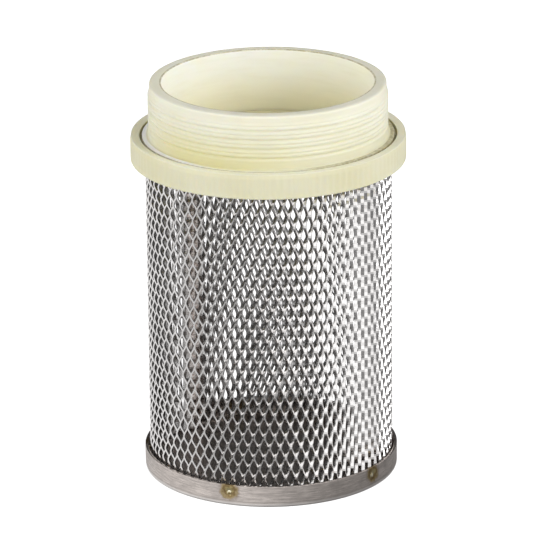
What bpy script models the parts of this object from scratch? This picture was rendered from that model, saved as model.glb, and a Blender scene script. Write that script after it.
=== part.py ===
"""Foot valve for a suction hose, as an assembly of separate solids.

A nylon collar with a male pipe thread carries a spring-loaded check poppet low in its bore.
An expanded-metal screen hangs from a slot under the collar's flange, and a pressed cap is
spot-welded round the screen's lower end.

The origin is the centre of the cap's underside, +Z points up the axis to the thread, and -Y is
the front. Lengths are written in millimetres and multiplied by MM, so the model is in metres.
An azimuth is measured in degrees from the front towards +X.
"""

import math

import bmesh
import bpy
from mathutils import Vector

MM = 0.001

# Driving dimensions.
TOTAL_HEIGHT = 100.8
CAP_RADIUS = 31.85
CAP_RIM_HEIGHT = 5.4
SCREEN_RADIUS = 30.75
FLANGE_RADIUS = 34.25
FLANGE_BOTTOM = 81.1
FLANGE_TOP = 87.4
THREAD_CREST_RADIUS = 29.8
BORE_RADIUS = 26.4
SEAT_HOLE_RADIUS = 17.4
STEM_RADIUS = 1.8
SHEET = 0.7
GAP = 0.3

# Pipe thread: 11 turns to the inch, 55 degree form.
THREAD_PITCH = 25.4 / 11
THREAD_DEPTH = 0.640327 * THREAD_PITCH
THREAD_TOP = TOTAL_HEIGHT - 1.4
THREAD_BOTTOM = FLANGE_TOP + 0.9
THREAD_FADE = 1.8

# Levels that neighbouring pieces share.
SLOT_TOP = FLANGE_BOTTOM + 3.5
SHOULDER_LEVEL = FLANGE_BOTTOM + 2.8
COUNTERBORE_RADIUS = BORE_RADIUS + 0.8
SEAT_LEVEL = FLANGE_BOTTOM - 0.5
SEAT_THICKNESS = 1.6
SEAL_THICKNESS = 1.4
SEAL_BOTTOM = SEAT_LEVEL + GAP
SEAL_TOP = SEAL_BOTTOM + SEAL_THICKNESS
SPIGOT_RADIUS = SEAT_HOLE_RADIUS - 1.8
PLATE_BOTTOM = SEAL_TOP + GAP
PLATE_TOP = PLATE_BOTTOM + 5.4
HUB_TOP = FLANGE_BOTTOM + 3.9
HUB_RADIUS = 5.2
POCKET_RADIUS = 4.0
POCKET_CEILING = HUB_TOP - 2.8
POCKET_BOTTOM = HUB_TOP - 9.4
BUSH_FLANGE = 0.6
BUSH_BOTTOM = POCKET_CEILING - GAP - BUSH_FLANGE
SPRING_TOP = BUSH_BOTTOM - GAP
SPRING_LENGTH = 7.9
SPRING_BOTTOM = SPRING_TOP - SPRING_LENGTH
SPRING_CUP_TOP = SPRING_BOTTOM - GAP
SPRING_CUP_BOTTOM = SPRING_CUP_TOP - SHEET
CLIP_TOP = SPRING_CUP_BOTTOM - GAP
CLIP_THICKNESS = 0.4
STEM_END = CLIP_TOP - 1.1

# Screen: a lattice of diamond openings between two plain bands.
SCREEN_SHEET = 0.8
SCREEN_BOTTOM = 1.2
SCREEN_TOP = SLOT_TOP - GAP
LATTICE_BOTTOM = 3.0
LATTICE_TOP = FLANGE_BOTTOM - 0.5
DIAMOND_COLUMNS = 20
DIAMOND_ROWS = 4
OPENING_RATIO = 0.73
SEAM_AZIMUTH = 223.0

# Spot welds.
CAP_WELD_COUNT = 5
FIRST_CAP_WELD_AZIMUTH = -19.3
CAP_WELD_LEVEL = 3.3
WELD_RADIUS = 0.95

COLLAR_SEGMENTS = 48
RING_SEGMENTS = 40
SMALL_SEGMENTS = 16
WELD_SEGMENTS = 10
SMOOTH_ANGLE = math.radians(35)


def clear_scene():
    """Remove every object that the scene starts with."""
    for obj in list(bpy.data.objects):
        bpy.data.objects.remove(obj, do_unlink=True)


def make_material(name, colour, roughness, metallic=0.0):
    """Return a Principled BSDF material with one linear colour."""
    material = bpy.data.materials.new(name)
    material.use_nodes = True
    shader = material.node_tree.nodes["Principled BSDF"]
    shader.inputs["Base Color"].default_value = (*colour, 1.0)
    shader.inputs["Roughness"].default_value = roughness
    shader.inputs["Metallic"].default_value = metallic
    material.diffuse_color = (*colour, 1.0)
    return material


def polar(radius, azimuth, level):
    """Return the point at a radius and an azimuth in degrees, all lengths in millimetres."""
    angle = math.radians(azimuth)
    return Vector((radius * math.sin(angle), -radius * math.cos(angle), level)) * MM


def add_object(name, mesh_data, material):
    """Merge coincident points, point the faces outwards and link the object."""
    bmesh.ops.remove_doubles(mesh_data, verts=mesh_data.verts, dist=1e-7)
    bmesh.ops.dissolve_degenerate(mesh_data, edges=mesh_data.edges, dist=1e-7)
    bmesh.ops.recalc_face_normals(mesh_data, faces=mesh_data.faces)
    mesh = bpy.data.meshes.new(name)
    mesh_data.to_mesh(mesh)
    mesh_data.free()
    mesh.materials.append(material)
    mesh.shade_smooth()
    mesh.set_sharp_from_angle(angle=SMOOTH_ANGLE)
    obj = bpy.data.objects.new(name, mesh)
    bpy.context.scene.collection.objects.link(obj)
    return obj


def join_columns(mesh_data, columns, row_shift=0):
    """Skin neighbouring columns of points, each a closed loop, all the way round.

    The last column meets the first one row_shift rows further on, as a helix does.
    """
    rows = len(columns[0])
    count = len(columns)
    for index in range(count):
        left = columns[index]
        last = index == count - 1
        right = columns[0] if last else columns[index + 1]
        shift = row_shift if last else 0
        for row in range(rows):
            below = (row + 1) % rows
            corners = [left[row], left[below], right[(below + shift) % rows], right[(row + shift) % rows]]
            unique = list(dict.fromkeys(corners))
            if len(unique) > 2:
                mesh_data.faces.new(unique)


def turned(name, outline, material, segments=RING_SEGMENTS):
    """Revolve a closed outline of (radius, level) points about the Z axis."""
    mesh_data = bmesh.new()
    on_axis = {}
    columns = []
    for index in range(segments):
        azimuth = 360.0 * index / segments
        column = []
        for row, (radius, level) in enumerate(outline):
            if radius > 0:
                column.append(mesh_data.verts.new(polar(radius, azimuth, level)))
                continue
            if row not in on_axis:
                on_axis[row] = mesh_data.verts.new(polar(0, 0, level))
            column.append(on_axis[row])
        columns.append(column)
    join_columns(mesh_data, columns)
    return add_object(name, mesh_data, material)


def arc(centre_radius, centre_level, size, start, end, steps):
    """Return outline points on an arc, with angles in degrees from the outward direction."""
    points = []
    for step in range(steps + 1):
        angle = math.radians(start + (end - start) * step / steps)
        points.append((centre_radius + size * math.cos(angle), centre_level + size * math.sin(angle)))
    return points


def cut(target, cutters):
    """Subtract hidden cutters from the target with exact Booleans."""
    for cutter in cutters:
        cutter.hide_render = True
        cutter.display_type = "WIRE"
        modifier = target.modifiers.new("Cut", "BOOLEAN")
        modifier.operation = "DIFFERENCE"
        modifier.solver = "EXACT"
        modifier.object = cutter


def unite(target, others):
    """Fuse hidden helper solids into the target with exact Booleans."""
    for other in others:
        other.hide_render = True
        other.display_type = "WIRE"
        modifier = target.modifiers.new("Unite", "BOOLEAN")
        modifier.operation = "UNION"
        modifier.solver = "EXACT"
        modifier.object = other


def radial_pin(name, azimuth, level, outline, material, segments=WELD_SEGMENTS):
    """Revolve an outline of (pin radius, distance from the Z axis) about a radial line."""
    pin = turned(name, outline, material, segments)
    direction = polar(1000, azimuth, 0).normalized()
    pin.rotation_euler = direction.to_track_quat("Z", "Y").to_euler()
    pin.location = (0, 0, level * MM)
    return pin


def thread_rows():
    """Return the (turns down, height share) corners of the truncated thread form."""
    crest = 1 / 6
    flank = 1 / 3
    corners = [(0.0, 0.0), (flank, 1.0), (flank + crest, 1.0), (2 * flank + crest, 0.0)]
    turns = math.ceil((THREAD_TOP - THREAD_BOTTOM) / THREAD_PITCH) + 1
    return [(turn + share, height) for turn in range(-1, turns) for share, height in corners]


def thread_point(turns_down, height, turn_share):
    """Return radius and level of one thread corner, clamped to the threaded length.

    The thread sinks into the root at its top, and its groove fills up to the crest at the foot.
    """
    level = THREAD_TOP - (turns_down + turn_share) * THREAD_PITCH
    level = min(max(level, THREAD_BOTTOM), THREAD_TOP)
    height *= min((THREAD_TOP - level) / THREAD_FADE, 1.0)
    height = 1 - (1 - height) * min((level - THREAD_BOTTOM) / THREAD_FADE, 1.0)
    return THREAD_CREST_RADIUS - THREAD_DEPTH * (1 - height), level


def collar_upper_outline():
    """Return the collar's outline from the bore's mouth out to the top of the thread."""
    root = THREAD_CREST_RADIUS - THREAD_DEPTH
    return [
        (BORE_RADIUS, TOTAL_HEIGHT - 0.5),
        (BORE_RADIUS + 0.4, TOTAL_HEIGHT),
        (root - 0.6, TOTAL_HEIGHT),
        (root, TOTAL_HEIGHT - 0.6),
    ]


def collar_lower_outline():
    """Return the collar's outline from the neck's foot round the flange and up the bore."""
    gutter_outer = FLANGE_RADIUS - 2.05
    gutter_floor = FLANGE_TOP - 1.3
    slot_inner = SCREEN_RADIUS - SCREEN_SHEET - 0.35
    slot_outer = SCREEN_RADIUS + 0.35
    return [
        (THREAD_CREST_RADIUS, gutter_floor + 0.4),
        (THREAD_CREST_RADIUS + 0.4, gutter_floor),
        (gutter_outer - 0.4, gutter_floor),
        (gutter_outer, FLANGE_TOP - 0.2),
        (gutter_outer + 0.2, FLANGE_TOP),
        (FLANGE_RADIUS - 0.35, FLANGE_TOP),
        (FLANGE_RADIUS, FLANGE_TOP - 0.35),
        *arc(FLANGE_RADIUS - 0.9, FLANGE_BOTTOM + 0.9, 0.9, 0, -90, 3),
        (slot_outer, FLANGE_BOTTOM),
        (slot_outer, SLOT_TOP),
        (slot_inner, SLOT_TOP),
        (slot_inner, FLANGE_BOTTOM),
        (COUNTERBORE_RADIUS - 0.3, FLANGE_BOTTOM),
        (COUNTERBORE_RADIUS - 0.6, FLANGE_BOTTOM + 0.2),
        (COUNTERBORE_RADIUS - 0.6, FLANGE_BOTTOM + 0.4),
        (COUNTERBORE_RADIUS, FLANGE_BOTTOM + 0.6),
        (COUNTERBORE_RADIUS, SHOULDER_LEVEL),
        (BORE_RADIUS, SHOULDER_LEVEL),
    ]


def make_threaded_collar(material):
    """Model the collar: smooth bore, male thread, gutter, flange and the slot for the screen."""
    mesh_data = bmesh.new()
    upper = collar_upper_outline()
    lower = collar_lower_outline()
    rows = thread_rows()
    thread_columns = []
    plain_columns = []
    for index in range(COLLAR_SEGMENTS):
        share = index / COLLAR_SEGMENTS
        azimuth = 360.0 * share
        thread = [thread_point(turns, height, share) for turns, height in rows]
        thread_columns.append([mesh_data.verts.new(polar(r, azimuth, z)) for r, z in thread])
        plain_columns.append([mesh_data.verts.new(polar(r, azimuth, z)) for r, z in lower + upper])
    skin_thread(mesh_data, thread_columns)
    skin_plain(mesh_data, plain_columns, thread_columns)
    return add_object("threaded_collar", mesh_data, material)


def skin_thread(mesh_data, columns):
    """Skin the helical rows; the last column meets the first one turn, or four rows, further on."""
    rows = len(columns[0])
    rows_per_turn = 4
    for index, left in enumerate(columns):
        last = index == len(columns) - 1
        right = columns[0] if last else columns[index + 1]
        shift = rows_per_turn if last else 0
        for row in range(rows - 1 - shift):
            corners = (left[row], left[row + 1], right[row + 1 + shift], right[row + shift])
            mesh_data.faces.new(corners)


def skin_plain(mesh_data, columns, thread_columns):
    """Skin the turned outline, and tie its ends to the thread's first and last points."""
    count = len(columns)
    for index, left in enumerate(columns):
        right_index = (index + 1) % count
        right = columns[right_index]
        for row in range(len(left) - 1):
            mesh_data.faces.new((left[row], left[row + 1], right[row + 1], right[row]))
        top_left = thread_columns[index][0]
        top_right = thread_columns[right_index][0]
        foot_left = thread_columns[index][-1]
        foot_right = thread_columns[right_index][-1]
        mesh_data.faces.new((left[-1], top_left, top_right, right[-1]))
        mesh_data.faces.new((foot_left, left[0], right[0], foot_right))


def make_valve_seat(material):
    """Model the dished seat ring with three arms that carry the guide hub."""
    rim_outer = COUNTERBORE_RADIUS - GAP
    rim_bottom = FLANGE_BOTTOM + 0.8
    rebate = rim_outer - 1.15
    seat_bottom = SEAT_LEVEL - SEAT_THICKNESS
    ring = turned("valve_seat", [
        (rebate, SHOULDER_LEVEL - GAP),
        (rebate - 1.75, SHOULDER_LEVEL - GAP),
        (SEAT_HOLE_RADIUS + 3.8, SEAT_LEVEL),
        (SEAT_HOLE_RADIUS, SEAT_LEVEL),
        (SEAT_HOLE_RADIUS, seat_bottom),
        (SEAT_HOLE_RADIUS + 4.5, seat_bottom),
        (rim_outer - 2.1, rim_bottom),
        (rim_outer, rim_bottom),
        (rim_outer, rim_bottom + 0.5),
        (rebate, rim_bottom + 0.5),
    ], material)
    hub_hole = STEM_RADIUS + 1.2
    hub = turned("hub_helper", [
        (hub_hole, HUB_TOP),
        (HUB_RADIUS - 0.4, HUB_TOP),
        (HUB_RADIUS, HUB_TOP - 0.4),
        (HUB_RADIUS, POCKET_BOTTOM),
        (POCKET_RADIUS, POCKET_BOTTOM),
        (POCKET_RADIUS, POCKET_CEILING),
        (hub_hole, POCKET_CEILING),
    ], material, 24)
    arms = [make_arm(index, 360.0 * index / 3, material) for index in range(3)]
    unite(ring, [hub, *arms])
    return ring


def make_arm(index, azimuth, material):
    """Model one flat arm from the hub to the underside of the seat."""
    arm_top = SEAT_LEVEL - SEAT_THICKNESS + 0.4
    arm_bottom = arm_top - 2.6
    half_width = 1.1
    inner = HUB_RADIUS - 0.6
    outer = SEAT_HOLE_RADIUS + 1.3
    mesh_data = bmesh.new()
    outward = polar(1000, azimuth, 0)
    across = polar(1000, azimuth + 90, 0)
    corners = []
    for level in (arm_bottom, arm_top):
        for distance, side in ((inner, -1), (outer, -1), (outer, 1), (inner, 1)):
            point = (outward * distance + across * side * half_width) * MM
            point.z = level * MM
            corners.append(mesh_data.verts.new(point))
    bmesh.ops.convex_hull(mesh_data, input=corners)
    return add_object(f"arm_helper_{index + 1}", mesh_data, material)


def make_seat_o_ring(material):
    """Model the O-ring between the seat's rebate and the collar's shoulder."""
    thickness = 0.45
    centre_radius = COUNTERBORE_RADIUS - 0.25 - thickness
    centre_level = SHOULDER_LEVEL - GAP - thickness
    section = arc(centre_radius, centre_level, thickness, 0, 360, 8)[:-1]
    return turned("seat_o_ring", section, material)


def make_guide_bush(material):
    """Model the flanged bush that guides the stem and carries the spring's fixed end."""
    bore = STEM_RADIUS + 0.2
    wall = STEM_RADIUS + 0.9
    flange = POCKET_RADIUS - 0.4
    return turned("guide_bush", [
        (bore, HUB_TOP - 0.2),
        (wall, HUB_TOP - 0.2),
        (wall, BUSH_BOTTOM + BUSH_FLANGE),
        (flange, BUSH_BOTTOM + BUSH_FLANGE),
        (flange, BUSH_BOTTOM),
        (bore, BUSH_BOTTOM),
    ], material, 24)


def make_poppet_plate(material):
    """Model the poppet: a domed plate over the hub, with a hollow spigot that carries the seal."""
    plate_radius = SEAT_HOLE_RADIUS + 2.2
    spigot_bottom = SEAT_LEVEL - 0.8
    ceiling = HUB_TOP + 0.5
    hole = STEM_RADIUS + 0.3
    return turned("poppet_plate", [
        (hole, PLATE_TOP),
        (HUB_RADIUS + 0.4, PLATE_TOP),
        (12.5, PLATE_BOTTOM + 3.2),
        (plate_radius - 0.6, PLATE_BOTTOM + 1.8),
        (plate_radius, PLATE_BOTTOM + 1.3),
        (plate_radius, PLATE_BOTTOM),
        (SPIGOT_RADIUS, PLATE_BOTTOM),
        (SPIGOT_RADIUS, spigot_bottom),
        (SPIGOT_RADIUS - 1.6, spigot_bottom),
        (SPIGOT_RADIUS - 2.2, PLATE_BOTTOM - 0.2),
        (11.5, PLATE_BOTTOM + 0.6),
        (HUB_RADIUS + 1.2, ceiling),
        (hole, ceiling),
    ], material)


def make_poppet_seal(material):
    """Model the flat rubber ring that meets the seat."""
    return turned("poppet_seal", [
        (SPIGOT_RADIUS + GAP, SEAL_TOP),
        (SEAT_HOLE_RADIUS + 2.9, SEAL_TOP),
        (SEAT_HOLE_RADIUS + 2.9, SEAL_BOTTOM),
        (SPIGOT_RADIUS + GAP, SEAL_BOTTOM),
    ], material)


def make_seal_retainer(material):
    """Model the ring pressed onto the spigot under the seal."""
    inner = SPIGOT_RADIUS + 0.15
    top = SEAL_BOTTOM - 0.15
    return turned("seal_retainer", [
        (inner, top),
        (SEAT_HOLE_RADIUS - GAP, top),
        (SEAT_HOLE_RADIUS - GAP, top - SHEET),
        (inner, top - SHEET),
    ], material)


def make_poppet_stem(material):
    """Model the headed stem, with the clip's groove near its lower end."""
    head_bottom = PLATE_TOP + GAP
    head_radius = STEM_RADIUS + 2.0
    groove_top = CLIP_TOP + 0.15
    groove_bottom = CLIP_TOP - CLIP_THICKNESS - 0.15
    groove_radius = STEM_RADIUS - 0.4
    return turned("poppet_stem", [
        (0, head_bottom + 1.7),
        (head_radius - 1.2, head_bottom + 1.6),
        (head_radius, head_bottom + 0.9),
        (head_radius, head_bottom),
        (STEM_RADIUS, head_bottom),
        (STEM_RADIUS, groove_top),
        (groove_radius, groove_top),
        (groove_radius, groove_bottom),
        (STEM_RADIUS, groove_bottom),
        (STEM_RADIUS, STEM_END + 0.5),
        (STEM_RADIUS - 0.5, STEM_END),
        (0, STEM_END),
    ], material, SMALL_SEGMENTS)


def spring_level(turn, turns, wire):
    """Return the coil centre's level after some turns up, with one closed coil at each end."""
    closed_pitch = wire * 1.25
    open_pitch = (SPRING_LENGTH - wire - 2 * closed_pitch) / (turns - 2)
    first = min(turn, 1.0) * closed_pitch
    middle = min(max(turn - 1.0, 0.0), turns - 2) * open_pitch
    last = max(turn - (turns - 1), 0.0) * closed_pitch
    return SPRING_BOTTOM + wire / 2 + first + middle + last


def make_return_spring(material):
    """Sweep a round wire along the compression spring's helix."""
    wire = 0.6
    coil_radius = 3.1
    turns = 5
    steps_per_turn = 16
    sides = 6
    steps = turns * steps_per_turn
    mesh_data = bmesh.new()
    path = []
    for step in range(steps + 1):
        turn = step / steps_per_turn
        path.append(polar(coil_radius, 360.0 * turn, spring_level(turn, turns, wire)))
    rings = []
    for step, centre in enumerate(path):
        tangent = (path[min(step + 1, steps)] - path[max(step - 1, 0)]).normalized()
        outward = Vector((centre.x, centre.y, 0)).normalized()
        upward = tangent.cross(outward).normalized()
        ring = []
        for side in range(sides):
            angle = 2 * math.pi * side / sides
            offset = (outward * math.cos(angle) + upward * math.sin(angle)) * wire / 2 * MM
            ring.append(mesh_data.verts.new(centre + offset))
        rings.append(ring)
    for lower, upper in zip(rings, rings[1:]):
        for side in range(sides):
            after = (side + 1) % sides
            mesh_data.faces.new((lower[side], lower[after], upper[after], upper[side]))
    mesh_data.faces.new(rings[0])
    mesh_data.faces.new(rings[-1])
    return add_object("return_spring", mesh_data, material)


def make_spring_cup(material):
    """Model the washer that the spring pushes down on the stem."""
    return turned("spring_cup", [
        (STEM_RADIUS + 0.2, SPRING_CUP_TOP),
        (POCKET_RADIUS - GAP, SPRING_CUP_TOP),
        (POCKET_RADIUS - GAP, SPRING_CUP_BOTTOM),
        (STEM_RADIUS + 0.2, SPRING_CUP_BOTTOM),
    ], material, 24)


def make_stem_clip(material):
    """Model the open retaining clip in the stem's groove."""
    inner = STEM_RADIUS - 0.25
    outer = POCKET_RADIUS - 0.6
    opening = 70.0
    steps = 16
    mesh_data = bmesh.new()
    sections = []
    for step in range(steps + 1):
        azimuth = opening / 2 + (360.0 - opening) * step / steps
        section = [
            polar(inner, azimuth, CLIP_TOP),
            polar(outer, azimuth, CLIP_TOP),
            polar(outer, azimuth, CLIP_TOP - CLIP_THICKNESS),
            polar(inner, azimuth, CLIP_TOP - CLIP_THICKNESS),
        ]
        sections.append([mesh_data.verts.new(point) for point in section])
    for left, right in zip(sections, sections[1:]):
        for side in range(4):
            after = (side + 1) % 4
            mesh_data.faces.new((left[side], left[after], right[after], right[side]))
    mesh_data.faces.new(sections[0])
    mesh_data.faces.new(sections[-1])
    return add_object("stem_clip", mesh_data, material)


class ScreenSheet:
    """Both skins of the screen, addressed by half-diamond columns and by level."""

    def __init__(self, mesh_data):
        self.mesh_data = mesh_data
        self.points = {}
        self.half_width = 180.0 / DIAMOND_COLUMNS
        self.half_height = (LATTICE_TOP - LATTICE_BOTTOM) / (2 * DIAMOND_ROWS)

    def point(self, column, level, outside):
        """Return the shared point at a column, counted in half diamonds from the seam."""
        key = (round(column % (2 * DIAMOND_COLUMNS), 6), round(level, 6), outside)
        if key not in self.points:
            radius = SCREEN_RADIUS if outside else SCREEN_RADIUS - SCREEN_SHEET
            place = polar(radius, SEAM_AZIMUTH + column * self.half_width, level)
            self.points[key] = self.mesh_data.verts.new(place)
        return self.points[key]

    def face(self, corners):
        """Add one face on the outer skin and its partner on the inner skin."""
        for outside in (True, False):
            self.mesh_data.faces.new([self.point(column, level, outside) for column, level in corners])

    def edge_wall(self, start, end):
        """Add the wall that joins both skins along one edge."""
        self.mesh_data.faces.new([
            self.point(*start, True), self.point(*end, True),
            self.point(*end, False), self.point(*start, False),
        ])

    def diamond(self, column, level, is_open):
        """Add one diamond tile, with or without its opening."""
        height = self.half_height
        steps = [(1, 0), (0, height), (-1, 0), (0, -height)]
        tips = [(column + across, level + up) for across, up in steps]
        inner = [(column + OPENING_RATIO * across, level + OPENING_RATIO * up) for across, up in steps]
        for index in range(4):
            after = (index + 1) % 4
            if is_open:
                self.face([tips[index], tips[after], inner[after], inner[index]])
                self.edge_wall(inner[index], inner[after])
            else:
                self.face([tips[index], tips[after], (column, level)])

    def half_diamond(self, column, edge, rise):
        """Fill the notch between two diamonds at the lattice's end."""
        for side in (-1, 1):
            self.face([(column + side, edge), (column, edge), (column, edge + rise)])

    def band(self, column, lattice_edge, sheet_edge):
        """Add one step of the plain band beyond the lattice, with the sheet's cut edge."""
        after = column + 1
        self.face([(column, lattice_edge), (after, lattice_edge), (after, sheet_edge), (column, sheet_edge)])
        self.edge_wall((column, sheet_edge), (after, sheet_edge))


def seam_weld_levels():
    """Return the levels of the seam's welds, one on each plain diamond of the lap."""
    rise = (LATTICE_TOP - LATTICE_BOTTOM) / DIAMOND_ROWS
    return [LATTICE_BOTTOM + rise * (row + 0.5) for row in range(DIAMOND_ROWS)]


def make_strainer_mesh(material):
    """Model the screen: a tube of diamond openings, plain along its welded lap seam."""
    mesh_data = bmesh.new()
    sheet = ScreenSheet(mesh_data)
    height = sheet.half_height
    for column in range(2 * DIAMOND_COLUMNS):
        is_even = column % 2 == 0
        first = LATTICE_BOTTOM + (height if is_even else 2 * height)
        rows = DIAMOND_ROWS if is_even else DIAMOND_ROWS - 1
        for row in range(rows):
            sheet.diamond(column, first + 2 * height * row, is_open=column != 0)
        if not is_even:
            sheet.half_diamond(column, LATTICE_BOTTOM, height)
            sheet.half_diamond(column, LATTICE_TOP, -height)
        sheet.band(column, LATTICE_BOTTOM, SCREEN_BOTTOM)
        sheet.band(column, LATTICE_TOP, SCREEN_TOP)
    screen = add_object("strainer_mesh", mesh_data, material)
    inner_radius = SCREEN_RADIUS - SCREEN_SHEET
    holes = [
        make_weld_hole(f"seam_hole_{index}", SEAM_AZIMUTH, level, inner_radius, SCREEN_RADIUS, material)
        for index, level in enumerate(seam_weld_levels(), start=1)
    ]
    cut(screen, holes)
    return screen


def make_weld_hole(name, azimuth, level, inner_radius, outer_radius, material):
    """Model the cutter for the hole that one weld fills."""
    radius = WELD_RADIUS + GAP
    overshoot = 1.0
    outline = [
        (0, outer_radius + overshoot),
        (radius, outer_radius + overshoot),
        (radius, inner_radius - overshoot),
        (0, inner_radius - overshoot),
    ]
    return radial_pin(name, azimuth, level, outline, material)


def make_weld(name, azimuth, level, inner_end, outer_end, material):
    """Model one spot weld as a nugget that stands just proud of the sheet."""
    crown = 0.15
    outline = [
        (0, outer_end),
        (WELD_RADIUS - 0.35, outer_end - 0.03),
        (WELD_RADIUS, outer_end - crown),
        (WELD_RADIUS, inner_end + crown),
        (WELD_RADIUS - 0.35, inner_end),
        (0, inner_end),
    ]
    return radial_pin(name, azimuth, level, outline, material)


def make_seam_welds(material):
    """Model the welds up the screen's lap seam."""
    inner_end = SCREEN_RADIUS - SCREEN_SHEET - 0.2
    outer_end = SCREEN_RADIUS + 0.15
    for index, level in enumerate(seam_weld_levels(), start=1):
        make_weld(f"seam_weld_{index}", SEAM_AZIMUTH, level, inner_end, outer_end, material)


def cap_weld_azimuths():
    """Return the azimuths of the evenly spaced cap welds."""
    return [FIRST_CAP_WELD_AZIMUTH + 360.0 * index / CAP_WELD_COUNT for index in range(CAP_WELD_COUNT)]


def make_bottom_cap(material):
    """Model the pressed cap: a flat bottom, a rounded corner and a rim outside the screen."""
    corner = 0.9
    inner_corner = 0.6
    inner_radius = CAP_RADIUS - SHEET
    cap = turned("bottom_cap", [
        (0, 0),
        *arc(CAP_RADIUS - corner, corner, corner, -90, 0, 4),
        (CAP_RADIUS, CAP_RIM_HEIGHT - 0.1),
        (CAP_RADIUS - 0.1, CAP_RIM_HEIGHT),
        (inner_radius + 0.1, CAP_RIM_HEIGHT),
        (inner_radius, CAP_RIM_HEIGHT - 0.1),
        *arc(inner_radius - inner_corner, SHEET + inner_corner, inner_corner, 0, -90, 3),
        (0, SHEET),
    ], material, COLLAR_SEGMENTS)
    holes = [
        make_weld_hole(f"cap_hole_{index}", azimuth, CAP_WELD_LEVEL, inner_radius, CAP_RADIUS, material)
        for index, azimuth in enumerate(cap_weld_azimuths(), start=1)
    ]
    cut(cap, holes)
    return cap


def make_cap_welds(material):
    """Model the welds that hold the cap's rim to the screen."""
    inner_end = SCREEN_RADIUS + 0.2
    outer_end = CAP_RADIUS + 0.15
    for index, azimuth in enumerate(cap_weld_azimuths(), start=1):
        make_weld(f"cap_weld_{index}", azimuth, CAP_WELD_LEVEL, inner_end, outer_end, material)


def carry(pieces):
    """Parent the moving pieces to an empty on the axis, at the seat's level."""
    carrier = bpy.data.objects.new("poppet_carrier", None)
    bpy.context.scene.collection.objects.link(carrier)
    carrier.location = (0, 0, SEAT_LEVEL * MM)
    for piece in pieces:
        piece.parent = carrier
        piece.location.z -= SEAT_LEVEL * MM


def build_foot_valve():
    """Build every piece of the valve."""
    nylon = make_material("ivory_nylon", (0.77, 0.74, 0.53), 0.45)
    acetal = make_material("white_acetal", (0.80, 0.79, 0.74), 0.35)
    rubber = make_material("black_nitrile", (0.02, 0.02, 0.022), 0.7)
    stainless = make_material("stainless_steel", (0.50, 0.47, 0.45), 0.3, 1.0)
    spring_wire = make_material("spring_wire", (0.45, 0.44, 0.43), 0.22, 1.0)
    weld_metal = make_material("heat_tinted_weld", (0.55, 0.40, 0.20), 0.35, 1.0)

    make_threaded_collar(nylon)
    make_valve_seat(nylon)
    make_seat_o_ring(rubber)
    make_guide_bush(acetal)
    make_return_spring(spring_wire)
    make_strainer_mesh(stainless)
    make_seam_welds(weld_metal)
    make_bottom_cap(stainless)
    make_cap_welds(weld_metal)
    carry([
        make_poppet_plate(acetal),
        make_poppet_seal(rubber),
        make_seal_retainer(stainless),
        make_poppet_stem(stainless),
        make_spring_cup(stainless),
        make_stem_clip(spring_wire),
    ])


clear_scene()
build_foot_valve()
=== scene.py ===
"""Looks of the foot valve: moulded nylon collar, expanded-metal screen, pressed cap and check poppet.

Lengths are in millimetres and turn into metres through MM. Every size comes from the CAD frame's
boxes or from the short list of driving sizes below. An azimuth is in degrees from the front (-Y)
towards +X.
"""

import math
from functools import cached_property

import bmesh
import bpy
from mathutils import Matrix, Quaternion, Vector


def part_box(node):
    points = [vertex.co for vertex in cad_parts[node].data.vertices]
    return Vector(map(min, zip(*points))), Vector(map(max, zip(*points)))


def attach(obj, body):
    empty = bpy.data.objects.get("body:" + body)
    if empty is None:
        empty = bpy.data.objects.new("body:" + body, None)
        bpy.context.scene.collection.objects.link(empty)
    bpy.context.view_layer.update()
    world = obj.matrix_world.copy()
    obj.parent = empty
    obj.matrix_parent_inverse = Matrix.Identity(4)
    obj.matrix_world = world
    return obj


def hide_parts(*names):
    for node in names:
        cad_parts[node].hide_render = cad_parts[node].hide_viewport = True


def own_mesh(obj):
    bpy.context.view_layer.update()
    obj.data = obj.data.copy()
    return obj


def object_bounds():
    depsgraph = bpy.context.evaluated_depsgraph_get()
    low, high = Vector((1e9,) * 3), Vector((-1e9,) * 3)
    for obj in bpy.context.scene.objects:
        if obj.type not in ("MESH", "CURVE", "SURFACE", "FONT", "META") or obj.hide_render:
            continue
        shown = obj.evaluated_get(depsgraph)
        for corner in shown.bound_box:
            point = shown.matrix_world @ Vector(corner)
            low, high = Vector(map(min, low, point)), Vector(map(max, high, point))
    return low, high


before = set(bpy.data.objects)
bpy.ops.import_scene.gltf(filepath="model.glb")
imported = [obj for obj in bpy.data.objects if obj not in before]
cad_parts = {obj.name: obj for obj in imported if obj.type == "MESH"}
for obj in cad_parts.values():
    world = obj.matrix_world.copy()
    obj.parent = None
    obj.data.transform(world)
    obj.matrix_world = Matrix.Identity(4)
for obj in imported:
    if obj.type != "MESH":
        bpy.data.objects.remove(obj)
cad_low, cad_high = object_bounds()

MM = 0.001


def box_mm(node):
    """Return a CAD node's lowest and highest corners in millimetres."""
    low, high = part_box(node)
    return low / MM, high / MM


# Levels and radii read from the frame.
COLLAR_LOW, COLLAR_HIGH = box_mm("threaded_collar")
SCREEN_LOW, SCREEN_HIGH = box_mm("strainer_mesh")
_, CAP_HIGH = box_mm("bottom_cap")
SEAT_LOW, SEAT_HIGH = box_mm("valve_seat")
O_RING_LOW, O_RING_HIGH = box_mm("seat_o_ring")
BUSH_LOW, BUSH_HIGH = box_mm("guide_bush")
SPRING_LOW, SPRING_HIGH = box_mm("return_spring")
PLATE_LOW, PLATE_HIGH = box_mm("poppet_plate")
SEAL_LOW, SEAL_HIGH = box_mm("poppet_seal")
_, RETAINER_HIGH = box_mm("seal_retainer")
STEM_LOW, STEM_HIGH = box_mm("poppet_stem")
CLIP_LOW, CLIP_HIGH = box_mm("stem_clip")

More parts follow.
